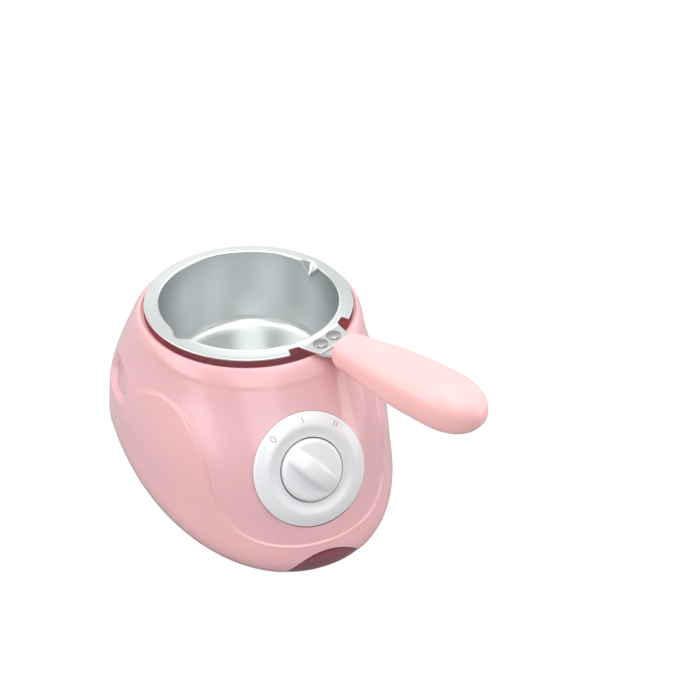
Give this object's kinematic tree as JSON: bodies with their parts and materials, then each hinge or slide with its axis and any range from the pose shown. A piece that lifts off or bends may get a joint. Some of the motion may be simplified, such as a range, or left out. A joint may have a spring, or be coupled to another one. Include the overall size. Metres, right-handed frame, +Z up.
{
  "type": "chocolate melting pot",
  "caption": "Electric chocolate melting pot: egg-shaped heated base with rotary dial and lamp window, and lift-out metal pot with side handle and two pouring lips.",
  "frame": {"origin": "on the surface that the feet stand on, under the axis of the pot", "axes": "+Z up, the dial faces -Y, +X to the right for someone who looks at the dial"},
  "size_m": [0.1478, 0.2067, 0.1082],
  "materials": {
    "housing": "glossy moulded",
    "handle": "satin gloss moulded",
    "dial_white": "glossy moulded",
    "lens": "translucent moulded",
    "pot_metal": "satin pressed",
    "rivet": "satin",
    "heating_plate": "turned",
    "heater_tube": "oxidised",
    "plated_steel": "zinc plated",
    "seal": "silicone",
    "inner_plastic": "moulded",
    "inner_black": "moulded",
    "lamp_glass": "clear",
    "base_plate": "fine matt moulded",
    "rubber": "matt moulded"
  },
  "bodies": {
    "base": {"housing": "housing", "well_liner": "housing", "plate_gasket": "seal", "heating_plate": "heating_plate", "heating_element": "heater_tube", "heater_retainer": "plated_steel", "retainer_screws": "plated_steel", "thermal_fuse": "plated_steel", "fuse_clip": "plated_steel", "dial_plate": "dial_white", "switch_body": "inner_plastic", "switch_nut": "plated_steel", "half_power_diode": "inner_black", "indicator_lens": "lens", "lamp_holder": "inner_plastic", "indicator_lamp": "lamp_glass", "base_plate": "base_plate", "base_screws": "plated_steel", "rubber_feet": "rubber", "cord_bush": "rubber", "cord_clamp": "inner_plastic", "clamp_screws": "plated_steel", "terminal_block": "inner_plastic"},
    "knob": {"knob": "dial_white", "switch_shaft": "plated_steel"},
    "pot": {"pot_bowl": "pot_metal", "handle_bracket": "pot_metal", "bracket_rivets": "rivet", "handle": "handle", "handle_screw": "plated_steel"}
  },
  "joints": [
    {"name": "pot_lift", "type": "slide", "parent": "base", "child": "pot", "axis": [0, 0, 1], "range_m": [0, 0.08]},
    {"name": "knob_turn", "type": "hinge", "parent": "base", "child": "knob", "pos_m": [0, -0.0882, 0.053], "axis": [0, -0.8434, 0.5373], "range_deg": [-80, 0]}
  ]
}
